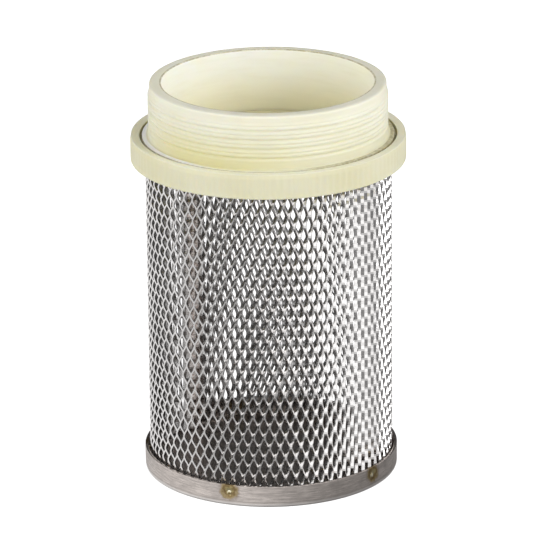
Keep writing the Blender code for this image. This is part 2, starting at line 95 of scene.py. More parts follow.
TOTAL_HEIGHT = COLLAR_HIGH.z
FLANGE_RADIUS = COLLAR_HIGH.x
FLANGE_BOTTOM = COLLAR_LOW.z
FLANGE_TOP = FLANGE_BOTTOM + 6.3
SCREEN_RADIUS = SCREEN_HIGH.x
CAP_RADIUS = CAP_HIGH.x
SEAT_RADIUS = SEAT_HIGH.x
BORE_RADIUS = SEAT_RADIUS - 0.5
COUNTERBORE_RADIUS = SEAT_RADIUS + 0.3
SEAT_HOLE_RADIUS = RETAINER_HIGH.x + 0.3
SPIGOT_RADIUS = SEAT_HOLE_RADIUS - 1.8
STEM_RADIUS = 1.8
HUB_RADIUS = 5.2
HUB_TOP = BUSH_HIGH.z + 0.2
SHEET = 0.7

# Pipe thread.
THREAD_CREST_RADIUS = 29.8
THREAD_PITCH = 25.4 / 11
THREAD_DEPTH = 0.42
THREAD_TOP = TOTAL_HEIGHT - 1.5
THREAD_BOTTOM = FLANGE_TOP + 0.9
THREAD_FADE = 1.8
THREAD_SAMPLES = 16
GROOVE_HALF_WIDTH = 0.13
CREST_LINE_HALF_WIDTH = 0.08
CREST_LINE_DEPTH = 0.45

# Groove between the neck's foot and the flange.
GUTTER_INNER = THREAD_CREST_RADIUS + 1.5
GUTTER_OUTER = FLANGE_RADIUS - 2.3
FOOT_TOP = FLANGE_TOP - 0.05

# Flange ribs.
RIB_COUNT = 120
COLUMNS_PER_RIB = 4
RIB_HEIGHT = 0.16

# Expanded metal: the long way of a diamond runs down the screen.
DIAMONDS_ROUND = 72
LONG_WAY = 5.46
STRAND_WIDTH = 0.80
STRAND_TILT = math.radians(50)
STRAND_SHEET = 0.34
BOND_LENGTH = 0.5
STRAND_STEPS = 3
STRAND_STRAIGHTNESS = 0.35
LAP_HALF_DIAMONDS = 5
LAP_RAMP = 4
SEAM_AZIMUTH = 223.0
SEAM_RUNS = 4

# Check poppet's spring.
SPRING_WIRE = 0.6
SPRING_TURNS = 5

# Studio.
KEY_AZIMUTH = 55.0
FILL_AZIMUTH = -65.0
SKY_AZIMUTH = -45.0
SKY_DIP = -0.35
FLOOR_AZIMUTH = -75.0

FIXED_BODY = "valve_body"
MOVING_BODY = "poppet"
ROUND_COLUMNS = 160
SMALL_COLUMNS = 48
CAP_COLUMNS = 480
SMOOTH_ANGLE = math.radians(32)
MERGE_DISTANCE = 1e-4 * MM


# ---- geometry helpers

def polar(radius, azimuth, level):
    """Return the point at a radius and an azimuth in degrees, all lengths in millimetres."""
    angle = math.radians(azimuth)
    return Vector((radius * math.sin(angle), -radius * math.cos(angle), level)) * MM


def smoothstep(value):
    """Ease a value from 0 to 1, clamped at both ends."""
    value = min(max(value, 0.0), 1.0)
    return value * value * (3 - 2 * value)


def link_object(name, data):
    """Make an object and put it in the scene."""
    obj = bpy.data.objects.new(name, data)
    bpy.context.scene.collection.objects.link(obj)
    return obj


def link_mesh(name, points, faces):
    """Make an object from points and faces, outward-facing and smooth except at its creases."""
    mesh = bpy.data.meshes.new(name)
    mesh.from_pydata(points, [], faces)
    data = bmesh.new()
    data.from_mesh(mesh)
    bmesh.ops.remove_doubles(data, verts=data.verts, dist=MERGE_DISTANCE)
    bmesh.ops.dissolve_degenerate(data, edges=data.edges, dist=MERGE_DISTANCE)
    bmesh.ops.recalc_face_normals(data, faces=data.faces)
    data.to_mesh(mesh)
    data.free()
    mesh.shade_smooth()
    mesh.set_sharp_from_angle(angle=SMOOTH_ANGLE)
    return link_object(name, mesh)


def filleted(outline, steps=4):
    """Round each corner of a closed outline of (radius, level, corner reach) points."""
    points = []
    count = len(outline)
    for index, (radius, level, reach) in enumerate(outline):
        corner = Vector((radius, level))
        if reach == 0:
            points.append((radius, level))
            continue
        before = Vector(outline[index - 1][:2]) - corner
        after = Vector(outline[(index + 1) % count][:2]) - corner
        reach = min(reach, before.length * 0.48, after.length * 0.48)
        start = corner + before.normalized() * reach
        end = corner + after.normalized() * reach
        for step in range(steps + 1):
            share = step / steps
            point = start * (1 - share) ** 2 + corner * 2 * share * (1 - share) + end * share ** 2
            points.append((max(point.x, 0.0), point.y))
    return points


def tube_faces(start, rings, sides):
    """Return the faces of a tube of rings of points stored from start, closed at both ends."""
    faces = []
    for low in range(start, start + (rings - 1) * sides, sides):
        high = low + sides
        for side in range(sides):
            after = (side + 1) % sides
            faces.append((low + side, low + after, high + after, high + side))
    for ring in (0, rings - 1):
        faces.append(tuple(start + ring * sides + side for side in range(sides)))
    return faces


def turned(name, outline, columns=ROUND_COLUMNS, shape=None):
    """Revolve a closed outline of (radius, level) points about the Z axis.

    shape, if given, takes (radius, azimuth, level) and returns a changed radius and level.
    """
    points = []
    faces = []
    rows = len(outline)
    for column in range(columns):
        azimuth = 360.0 * column / columns
        for radius, level in outline:
            if shape and radius > 0:
                radius, level = shape(radius, azimuth, level)
            points.append(polar(radius, azimuth, level))
    for column in range(columns):
        left = column * rows
        right = ((column + 1) % columns) * rows
        for row in range(rows):
            below = (row + 1) % rows
            on_axis = outline[row][0] == 0 and outline[below][0] == 0
            if not on_axis:
                faces.append((left + row, left + below, right + below, right + row))
    return link_mesh(name, points, faces)


def swept_wire(name, path, radius):
    """Sweep a round wire along a path of points that winds about the Z axis."""
    points = []
    sides = 12
    last = len(path) - 1
    for step, centre in enumerate(path):
        tangent = (path[min(step + 1, last)] - path[max(step - 1, 0)]).normalized()
        outward = Vector((centre.x, centre.y, 0)).normalized()
        upward = tangent.cross(outward).normalized()
        for side in range(sides):
            angle = 2 * math.pi * side / sides
            offset = (outward * math.cos(angle) + upward * math.sin(angle)) * radius * MM
            points.append(centre + offset)
    return link_mesh(name, points, tube_faces(0, len(path), sides))


def unite(target, others):
    """Fuse helper solids into the target and remove the helpers."""
    for other in others:
        modifier = target.modifiers.new("Unite", "BOOLEAN")
        modifier.operation = "UNION"
        modifier.solver = "EXACT"
        modifier.object = other
    depsgraph = bpy.context.evaluated_depsgraph_get()
    fused = bpy.data.meshes.new_from_object(target.evaluated_get(depsgraph))
    target.modifiers.clear()
    target.data = fused
    for other in others:
        bpy.data.objects.remove(other)
    target.data.shade_smooth()
    target.data.set_sharp_from_angle(angle=SMOOTH_ANGLE)


def settle(piece, material, node, body=FIXED_BODY):
    """Give a piece its material and body, and let it stand for its CAD node."""
    piece.data.materials.clear()
    piece.data.materials.append(material)
    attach(piece, body)
    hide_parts(node)


# ---- materials

class Nodes:
    """A node tree that grows one call at a time."""

    def __init__(self, owner):
        owner.use_nodes = True
        self.tree = owner.node_tree

    def feed(self, socket, value):
        """Link an output to a socket, or set the socket's own value."""
        if isinstance(value, bpy.types.NodeSocket):
            self.tree.links.new(value, socket)
            return
        if socket.type == "RGBA" and len(value) == 3:
            value = (*value, 1.0)
        socket.default_value = value

    def add(self, kind, inputs, **settings):
        """Add a node, feed its inputs by name or number, and return the node."""
        node = self.tree.nodes.new(kind)
        for key, value in settings.items():
            setattr(node, key, value)
        for key, value in inputs.items():
            self.feed(node.inputs[key], value)
        return node

    def calc(self, operation, first, second=0.0, clamp=False):
        """Return first combined with second by a Math node."""
        node = self.add("ShaderNodeMath", {0: first, 1: second}, operation=operation, use_clamp=clamp)
        return node.outputs[0]

    def product(self, first, *others):
        """Return the product of several values."""
        for other in others:
            first = self.calc("MULTIPLY", first, other)
        return first

    def vector(self, operation, first, second=(0, 0, 0), output="Vector"):
        """Return what a Vector Math node makes: its vector, unless another output is named."""
        node = self.add("ShaderNodeVectorMath", {0: first, 1: second}, operation=operation)
        return node.outputs[output]

    def measure(self, operation, first, second=(0, 0, 0)):
        """Return the number that a Vector Math node makes."""
        return self.vector(operation, first, second, "Value")

    def spread(self, value, low, high, out_low, out_high, smooth=True):
        """Map a value from one range onto another, clamped."""
        inputs = {"Value": value, "From Min": low, "From Max": high, "To Min": out_low, "To Max": out_high}
        kind = "SMOOTHSTEP" if smooth else "LINEAR"
        return self.add("ShaderNodeMapRange", inputs, interpolation_type=kind).outputs["Result"]

    def over(self, length, low, high, out_low, out_high):
        """Map a length in metres from a range in millimetres onto another range, clamped."""
        return self.spread(length, low * MM, high * MM, out_low, out_high)


class Finish(Nodes):
    """A Principled material whose nodes read the place in the object, in metres."""

    def __init__(self, name, roughness, metallic=0.0):
        self.material = bpy.data.materials.new(name)
        super().__init__(self.material)
        self.surface = self.tree.nodes["Principled BSDF"]
        self.wear(Roughness=roughness, Metallic=metallic)
        self.coordinates = self.tree.nodes.new("ShaderNodeTexCoord").outputs
        self.place = self.coordinates["Object"]

    @cached_property
    def axes(self):
        """The place's X, Y and Z."""
        return self.add("ShaderNodeSeparateXYZ", {"Vector": self.place}).outputs

    @cached_property
    def flat(self):
        """The place, moved straight down to level 0."""
        return self.vector("MULTIPLY", self.place, (1, 1, 0))

    @cached_property
    def radius(self):
        """The distance from the Z axis."""
        return self.measure("LENGTH", self.flat)

    def noise(self, scale, detail=3.0):
        """Return noise between 0 and 1, with scale in features a metre."""
        return self.streaks(scale, scale, detail)

    def streaks(self, across, up, detail=3.0, roughness=0.55):
        """Return noise between 0 and 1, with across and up in features a metre."""
        stretched = self.vector("MULTIPLY", self.place, (across, across, up))
        inputs = {"Vector": stretched, "Scale": 1.0, "Detail": detail, "Roughness": roughness}
        return self.add("ShaderNodeTexNoise", inputs).outputs["Fac"]

    def blend(self, share, first, second):
        """Return the first colour changed towards the second by a share from 0 to 1."""
        inputs = {"Factor": share, "A": first, "B": second}
        return self.add("ShaderNodeMix", inputs, data_type="RGBA").outputs["Result"]

    def ramp(self, value, stops):
        """Return a colour from (position, colour) stops."""
        node = self.add("ShaderNodeValToRGB", {"Fac": value})
        elements = node.color_ramp.elements
        while len(elements) < len(stops):
            elements.new(0.5)
        for element, (position, colour) in zip(elements, stops):
            element.position = position
            element.color = (*colour, 1.0)
        return node.outputs["Color"]

    def distance_to(self, points):
        """Return the distance in metres to the nearest of some points."""
        nearest = None
        for point in points:
            distance = self.measure("DISTANCE", self.place, tuple(point))
            nearest = distance if nearest is None else self.calc("MINIMUM", nearest, distance)
        return nearest

    def bump(self, height, distance, strength=1.0, under=None):
        """Return a normal raised by a height of up to distance in mm, on another normal if given."""
        inputs = {"Height": height, "Distance": distance * MM, "Strength": strength}
        if under:
            inputs["Normal"] = under
        return self.add("ShaderNodeBump", inputs).outputs["Normal"]

    def roughen(self, pattern, spans, distance, strength):
        """Let a pattern set the roughness, by spans of four values, and raise a bump of distance in mm."""
        self.wear(Roughness=self.spread(pattern, *spans), Normal=self.bump(pattern, distance, strength))

    def wear(self, **inputs):
        """Feed the Principled node's inputs, named with underscores for spaces."""
        for key, value in inputs.items():
            self.feed(self.surface.inputs[key.replace("_", " ")], value)
        return self.material


# Nylon tones: pale (painted light) and bore_deep (painted shade) in the bore, light and deep outside it,
# shade for the painted shade at the lip, gutter and foot.
IVORY = {
    "pale": (0.955, 0.95, 0.87),
    "light": (0.87, 0.86, 0.735),
    "deep": (0.73, 0.695, 0.46),
    "bore_deep": (0.86, 0.81, 0.54),
    "shade": (0.30, 0.25, 0.11),
}
# Darker copy of the nylon tones for the seat: painted shade, as the seat lies deep below the bore.
IVORY_PAINTED_SHADE = {
    "pale": (0.55, 0.52, 0.33),
    "light": (0.55, 0.52, 0.33),
    "deep": (0.50, 0.47, 0.28),
    "bore_deep": (0.50, 0.47, 0.28),
    "shade": (0.40, 0.36, 0.20),
}
# Olive for painted shade low on the neck's left.
OLIVE_PAINTED_SHADE = (0.79, 0.745, 0.42)
# Grey for painted shade on the collar's rim.
RIM_PAINTED_SHADE = (0.58, 0.57, 0.50)
# Near white for a painted highlight on the foot's left.
PAINTED_HIGHLIGHT = (0.97, 0.96, 0.93)


def nylon(name, tones):
    """Moulded nylon: painted light in the bore with painted shade low down and to its right, deeper at the
    flange, painted shade on the rim, lip, gutter and foot, a painted highlight on the foot's left, satin,
    with some light inside.
    """
    finish = Finish(name, 0.42)
    in_bore = finish.over(finish.radius, BORE_RADIUS + 0.1, BORE_RADIUS + 0.3, 1.0, 0.0)
    out_of_bore = finish.calc("SUBTRACT", 1.0, in_bore)
    colour = finish.blend(in_bore, nylon_outside(finish, tones), painted_bore_light_and_shade(finish, tones))
    flow = finish.streaks(90.0, 700.0, 4.0)
    colour = finish.blend(finish.spread(flow, 0.4, 0.75, 0.0, 0.15), colour, tones["deep"])
    # Painted shade: the rim's upward face is greyed so that it looks less lit from above.
    painted_shade_on_rim = finish.over(finish.axes["Z"], TOTAL_HEIGHT - 0.4, TOTAL_HEIGHT - 0.05, 0.0, 0.5)
    colour = finish.blend(finish.product(painted_shade_on_rim, out_of_bore), colour, RIM_PAINTED_SHADE)
    colour = paint_nylon_highlight_and_shade(finish, colour, tones["shade"])
    skin = finish.bump(finish.noise(1800.0), 0.04, 0.5)
    finish.surface.subsurface_method = "RANDOM_WALK"
    return finish.wear(
        Base_Color=colour,
        Roughness=finish.spread(finish.noise(600.0), 0.3, 0.7, 0.36, 0.52),
        Normal=finish.bump(flow, 0.05, 0.35, skin),
        Subsurface_Weight=0.6,
        Subsurface_Radius=(1.0, 0.85, 0.5),
        Subsurface_Scale=0.0025,
        IOR=1.53,
    )


def nylon_outside(finish, tones):
    """Return nylon's colour outside the bore: deeper on the flange, with painted olive shade low on the
    neck's left.
    """
    sideways, height = finish.axes["X"], finish.axes["Z"]
    on_neck = finish.over(finish.radius, GUTTER_INNER - 0.6, GUTTER_INNER - 0.1, 1.0, 0.0)
    off_neck = finish.calc("SUBTRACT", 1.0, on_neck)
    on_flange = finish.product(off_neck, 0.60, finish.over(height, FOOT_TOP - 0.4, FOOT_TOP, 1.0, 0.3))
    drift = finish.spread(finish.noise(45.0, 2.0), 0.35, 0.68, 0.0, 0.30)
    colour = finish.blend(finish.calc("ADD", drift, on_flange, clamp=True), tones["light"], tones["deep"])
    # Painted shade: olive low on the neck's left, darker there as if less lit.
    painted_shade_low_left = finish.product(
        on_neck,
        finish.over(height, FOOT_TOP - 0.5, FOOT_TOP + 11, 1.0, 0.0),
        finish.over(sideways, -18, 16, 1.0, 0.3),
        finish.over(sideways, -30, -22, 0.2, 1.0),
    )
    return finish.blend(painted_shade_low_left, colour, OLIVE_PAINTED_SHADE)


def painted_bore_light_and_shade(finish, tones):
    """Return nylon's colour in the bore: pale as painted light, with painted shade deeper low down and
    towards the right.
    """
    downwards = finish.over(finish.axes["Z"], FOOT_TOP - 2, TOTAL_HEIGHT - 2, 0.75, 0.0)
    rightwards = finish.over(finish.axes["X"], -5, 26, 0.0, 0.25)
    # Painted shade: deeper low in the bore and towards its right side.
    deeper = finish.calc("ADD", downwards, rightwards, clamp=True)
    return finish.blend(deeper, tones["pale"], tones["bore_deep"])


def paint_nylon_highlight_and_shade(finish, colour, shade):
    """Paint a highlight on the foot's left, and paint shade on the bore's lip, in the gutter's crevice and on
    the foot's right.
    """
    sideways, height, radius = finish.axes["X"], finish.axes["Z"], finish.radius
    on_foot = finish.product(
        finish.over(radius, THREAD_CREST_RADIUS + 0.3, THREAD_CREST_RADIUS + 0.7, 0.0, 1.0),
        finish.over(radius, GUTTER_INNER, GUTTER_INNER + 0.2, 1.0, 0.0),
    )
    # Painted highlight: a white line on the foot's left.
    left_foot = finish.product(on_foot, finish.over(sideways, -22, -12, 1.0, 0.0))
    # Painted shade: the foot's right side, the lip's inner edge and the gutter's crevice are darkened,
    # mottled by noise.
    right_foot = finish.product(on_foot, finish.over(sideways, 0, 20, 0.0, 0.75))
    lip = finish.product(
        finish.over(radius, BORE_RADIUS + 0.3, BORE_RADIUS + 0.5, 1.0, 0.0),
        finish.over(height, TOTAL_HEIGHT - 0.25, TOTAL_HEIGHT - 0.1, 0.0, 0.8),
    )
    crevice = finish.product(
        finish.over(radius, GUTTER_INNER - 0.2, GUTTER_INNER + 0.1, 0.0, 1.0),
        finish.over(height, FOOT_TOP - 0.18, FOOT_TOP - 0.06, 0.75, 0.0),
        finish.over(radius, GUTTER_OUTER + 0.1, GUTTER_OUTER + 0.3, 1.0, 0.0),
    )
    painted_shade_mask = finish.calc("MAXIMUM", finish.calc("MAXIMUM", lip, crevice), right_foot)
    mottle = finish.spread(finish.noise(900.0), 0.35, 0.60, 0.55, 1.0)
    colour = finish.blend(left_foot, colour, PAINTED_HIGHLIGHT)
    return finish.blend(finish.product(painted_shade_mask, mottle), colour, shade)


# Heat tint outwards from a weld's centre, as (share of TINT_REACH, colour).
TINT_REACH = 3.4
HEAT_TINT = (
    (0.00, (0.66, 0.58, 0.36)),
    (0.25, (0.52, 0.42, 0.20)),
    (0.42, (0.22, 0.15, 0.07)),
    (0.60, (0.42, 0.33, 0.18)),
    (0.78, (0.36, 0.29, 0.25)),
    (1.00, (0.50, 0.46, 0.43)),
)
# Level of a painted dark line round the cap, with a painted highlight below it.
PAINTED_LINE_LEVEL = 1.2
PAINTED_EDGE_HIGHLIGHT = (0.95, 0.92, 0.90)
# Dark brown for the painted shade inside the cap.
CAP_INSIDE_PAINTED_SHADE = (0.10, 0.075, 0.06)


def brush(finish, base):
    """Brush a metal round the axis and smear it; return its colour and a darker tone of its base."""
    streaks = finish.streaks(240.0, 5200.0, 5.0, 0.75)
    smears = finish.noise(300.0, 4.0)
    darker = tuple(0.50 * part for part in base)
    colour = finish.blend(finish.spread(streaks, 0.36, 0.64, 0.0, 0.85), base, darker)
    colour = finish.blend(finish.spread(smears, 0.42, 0.72, 0.0, 0.45), colour, darker)
    finish.roughen(streaks, (0.25, 0.75, 0.24, 0.40), 0.02, 0.45)
    finish.wear(Anisotropic=0.4)
    return colour, darker


def turned_steel():
    """Turned stainless: brushed round the axis."""
    finish = Finish("brushed_stainless", 0.3, 1.0)
    colour, _ = brush(finish, (0.56, 0.53, 0.51))
    return finish.wear(Base_Color=colour)


def pressed_steel(welds):
    """Pressed stainless for the cap: heat tint round its welds, a painted dark line near its foot with a
    painted highlight below it, and painted shade inside.
    """
    finish = Finish("brushed_stainless_welded", 0.3, 1.0)
    colour, darker = brush(finish, (0.83, 0.75, 0.70))
    height = finish.axes["Z"]
    wobble = finish.product(finish.calc("SUBTRACT", finish.noise(1100.0, 4.0), 0.5), 2.2 * MM)
    reach = finish.calc("ADD", finish.distance_to(welds), wobble)
    share = finish.calc("DIVIDE", reach, TINT_REACH * MM, clamp=True)
    colour = finish.blend(finish.spread(share, 0.55, 1.0, 1.0, 0.0), colour, finish.ramp(share, HEAT_TINT))
    # Painted shade and highlight: a dark line round the wall, and a bright band below it down to the foot.
    from_line = finish.calc("ABSOLUTE", finish.calc("SUBTRACT", height, PAINTED_LINE_LEVEL * MM))
    colour = finish.blend(finish.over(from_line, 0.0, 0.3, 0.55, 0.0), colour, darker)
    below_line = finish.over(height, PAINTED_LINE_LEVEL - 0.6, PAINTED_LINE_LEVEL - 0.1, 0.6, 0.0)
    colour = finish.blend(below_line, colour, PAINTED_EDGE_HIGHLIGHT)
    # Painted shade: the cap's inner wall and floor are darkened halfway to dark brown.
    wall = CAP_RADIUS - SHEET
    inside = finish.over(finish.radius, wall, wall + 0.3, 0.5, 0.0)
    return finish.wear(Base_Color=finish.blend(inside, colour, CAP_INSIDE_PAINTED_SHADE))


def expanded_steel():
    """Expanded stainless: bright strands with shear marks, painted shade on faces turned inwards, warm tint
    along the lap seam.
    """
    finish = Finish("expanded_stainless", 0.28, 1.0)
    base = (0.93, 0.91, 0.90)
    seam_tint = (0.80, 0.64, 0.55)
    marks = finish.streaks(2600.0, 500.0)
    patches = finish.noise(110.0)
    darker = tuple(0.72 * part for part in base)
    colour = finish.blend(finish.spread(patches, 0.38, 0.72, 0.0, 0.45), base, darker)
    # Painted shade: faces turned towards the axis are darkened nearly to black.
    outward = finish.vector("NORMALIZE", finish.flat)
    facing = finish.measure("DOT_PRODUCT", outward, finish.coordinates["Normal"])
    colour = finish.blend(finish.spread(facing, -0.5, 0.1, 0.52, 0.0), colour, (0.05, 0.05, 0.05))
    from_seam = finish.measure("DISTANCE", finish.flat, tuple(polar(SCREEN_RADIUS, SEAM_AZIMUTH, 0)))
    from_seam = finish.calc("ADD", from_seam, finish.product(finish.noise(420.0, 2.0), 4 * MM))
    colour = finish.blend(finish.over(from_seam, 2.5, 6.5, 0.42, 0.0), colour, seam_tint)
    finish.roughen(marks, (0.25, 0.75, 0.16, 0.30), 0.03, 0.5)
    return finish.wear(Base_Color=colour)


def weld_metal(name, tones, metallic):
    """Weld nuggets: rippled metal in three heat-tinted tones, dark, middle and bright."""
    finish = Finish(name, 0.25, metallic)
    ripple = finish.noise(1700.0)
    colour = finish.ramp(ripple, tuple(zip((0.38, 0.48, 0.60), tones)))
    finish.roughen(ripple, (0.3, 0.7, 0.18, 0.38), 0.06, 0.7)
    return finish.wear(Base_Color=colour)


def acetal():
    """Moulded acetal: off-white, slightly glossy, with faint flow marks."""
    finish = Finish("moulded_acetal", 0.32)
    flow = finish.noise(160.0, 4.0)
    flowed = finish.spread(flow, 0.25, 0.8, 0.0, 0.15)
    return finish.wear(
        Base_Color=finish.blend(flowed, (0.80, 0.79, 0.74), (0.70, 0.69, 0.62)),
        Roughness=finish.spread(flow, 0.25, 0.8, 0.30, 0.36),
        Normal=finish.bump(finish.noise(2200.0, 2.0), 0.03, 0.4),
        Subsurface_Weight=0.15,
        Subsurface_Radius=(1.0, 0.9, 0.7),
        Subsurface_Scale=0.001,
    )


def nitrile():
    """Moulded rubber: near black, matt, with pale bloom in patches."""
    finish = Finish("moulded_nitrile", 0.65)
    bloom = finish.noise(320.0, 4.0)
    bloomed = finish.spread(bloom, 0.45, 0.75, 0.0, 0.5)
    colour = finish.blend(bloomed, (0.018, 0.018, 0.02), (0.055, 0.055, 0.058))
    roughness = finish.spread(bloom, 0.3, 0.7, 0.55, 0.78)
    normal = finish.bump(finish.noise(2600.0, 2.0), 0.04, 0.6)
    return finish.wear(Base_Color=colour, Roughness=roughness, Normal=normal)


def drawn_wire():
    """Drawn spring wire: bright, with fine level lines."""
    finish = Finish("drawn_spring_wire", 0.25, 1.0)
    lines = finish.streaks(300.0, 6000.0)
    colour = finish.blend(finish.spread(lines, 0.3, 0.7, 0.0, 1.0), (0.55, 0.54, 0.53), (0.36, 0.35, 0.34))
    finish.roughen(lines, (0.3, 0.7, 0.18, 0.34), 0.01, 0.5)
    return finish.wear(Base_Color=colour)


# ---- collar

def thread_height(share):
    """Return the thread form's height: 0 in its narrow groove, 1 on its flat, less in a fine crest line."""
    groove = math.exp(-(min(share, 1 - share) / GROOVE_HALF_WIDTH) ** 2)
    crest_line = CREST_LINE_DEPTH * math.exp(-((share - 0.5) / CREST_LINE_HALF_WIDTH) ** 2)
    return 1 - max(groove, crest_line)


def thread_point(turns_down):
    """Return radius and level on the thread, clamped to the threaded length.

    The thread sinks into the root at its top, and its groove fills up to the crest at the foot.
    """
    level = THREAD_TOP - turns_down * THREAD_PITCH
    level = min(max(level, THREAD_BOTTOM), THREAD_TOP)
    height = thread_height(turns_down % 1.0) * smoothstep((THREAD_TOP - level) / THREAD_FADE)
    height = 1 - (1 - height) * smoothstep((level - THREAD_BOTTOM) / THREAD_FADE)
    return THREAD_CREST_RADIUS - THREAD_DEPTH * (1 - height), level


def collar_outline():
    """Return the collar's outline below the thread, round the flange, up the bore and over the rim."""
    root = THREAD_CREST_RADIUS - THREAD_DEPTH
    gutter_floor = FLANGE_TOP - 1.2
    slot_top = SCREEN_HIGH.z + 0.3
    slot_inner = SCREEN_RADIUS - 1.75
    slot_outer = SCREEN_RADIUS + 0.35
    rim_inset = 0.2
    side_rows = 10
    corner = 0.9
    rounded = filleted([
        (THREAD_CREST_RADIUS, THREAD_BOTTOM - 0.1, 0),
        (THREAD_CREST_RADIUS, FOOT_TOP, 0.4),
        (GUTTER_INNER, FOOT_TOP, 0.12),
        (GUTTER_INNER, gutter_floor, 0.2),
        (GUTTER_OUTER, gutter_floor, 0.2),
        (GUTTER_OUTER, FLANGE_TOP, 0.3),
        (FLANGE_RADIUS, FLANGE_TOP, 0.4),
    ])
    side_top = FLANGE_TOP - 0.45
    side_bottom = FLANGE_BOTTOM + corner
    side = [
        (FLANGE_RADIUS, side_top + (side_bottom - side_top) * row / side_rows)
        for row in range(1, side_rows)
    ]
    inner = filleted([
        (FLANGE_RADIUS, side_bottom, 0),
        (FLANGE_RADIUS, FLANGE_BOTTOM, corner),
        (slot_outer, FLANGE_BOTTOM, 0.1),
        (slot_outer, slot_top, 0.2),
        (slot_inner, slot_top, 0.2),
        (slot_inner, FLANGE_BOTTOM, 0.15),
        (COUNTERBORE_RADIUS - 0.3, FLANGE_BOTTOM, 0.1),
        (COUNTERBORE_RADIUS - 0.6, FLANGE_BOTTOM + 0.2, 0.1),
        (COUNTERBORE_RADIUS - 0.6, FLANGE_BOTTOM + 0.4, 0.1),
        (COUNTERBORE_RADIUS, FLANGE_BOTTOM + 0.6, 0.1),
        (COUNTERBORE_RADIUS, O_RING_HIGH.z + 0.3, 0.05),
        (BORE_RADIUS, O_RING_HIGH.z + 0.3, 0.1),
        (BORE_RADIUS, TOTAL_HEIGHT, rim_inset),
        (root, TOTAL_HEIGHT, 1.3),
        (root, THREAD_TOP + 0.05, 0),
    ])
    return rounded + side + inner


def rib_radius(radius, azimuth, level):
    """Raise the fine grip ribs on the flange's outer wall, faded at its corners."""
    on_wall = smoothstep((radius - (FLANGE_RADIUS - 0.25)) / 0.25)
    from_edge = min(level - FLANGE_BOTTOM - 0.3, FLANGE_TOP - 0.2 - level)
    ridge = 0.5 - 0.5 * math.cos(math.radians(azimuth * RIB_COUNT))
    return radius - RIB_HEIGHT * on_wall * smoothstep(from_edge / 0.6) * ridge


def make_collar(material):
    """Build the collar: turned outline, helical thread and ribbed flange in one closed skin."""
    columns = RIB_COUNT * COLUMNS_PER_RIB
    turns = math.ceil((THREAD_TOP - THREAD_BOTTOM) / THREAD_PITCH) + 1
    thread_rows = (turns + 1) * THREAD_SAMPLES + 1
    outline = collar_outline()
    points = []
    faces = []
    stride = thread_rows + len(outline)
    for column in range(columns):
        share = column / columns
        azimuth = 360.0 * share
        for row in range(thread_rows):
            radius, level = thread_point(row / THREAD_SAMPLES - 1 + share)
            points.append(polar(radius, azimuth, level))
        for radius, level in outline:
            points.append(polar(rib_radius(radius, azimuth, level), azimuth, level))
    for column in range(columns):
        is_last = column == columns - 1
        left = column * stride
        right = 0 if is_last else left + stride
        shift = THREAD_SAMPLES if is_last else 0
        for row in range(thread_rows - 1 - shift):
            faces.append((left + row, left + row + 1, right + row + 1 + shift, right + row + shift))
        for row in range(thread_rows - 1, stride):
            after = (row + 1) % stride
            faces.append((left + row, left + after, right + after, right + row))
    collar = link_mesh("collar_moulding", points, faces)
    settle(collar, material, "threaded_collar")


# ---- screen

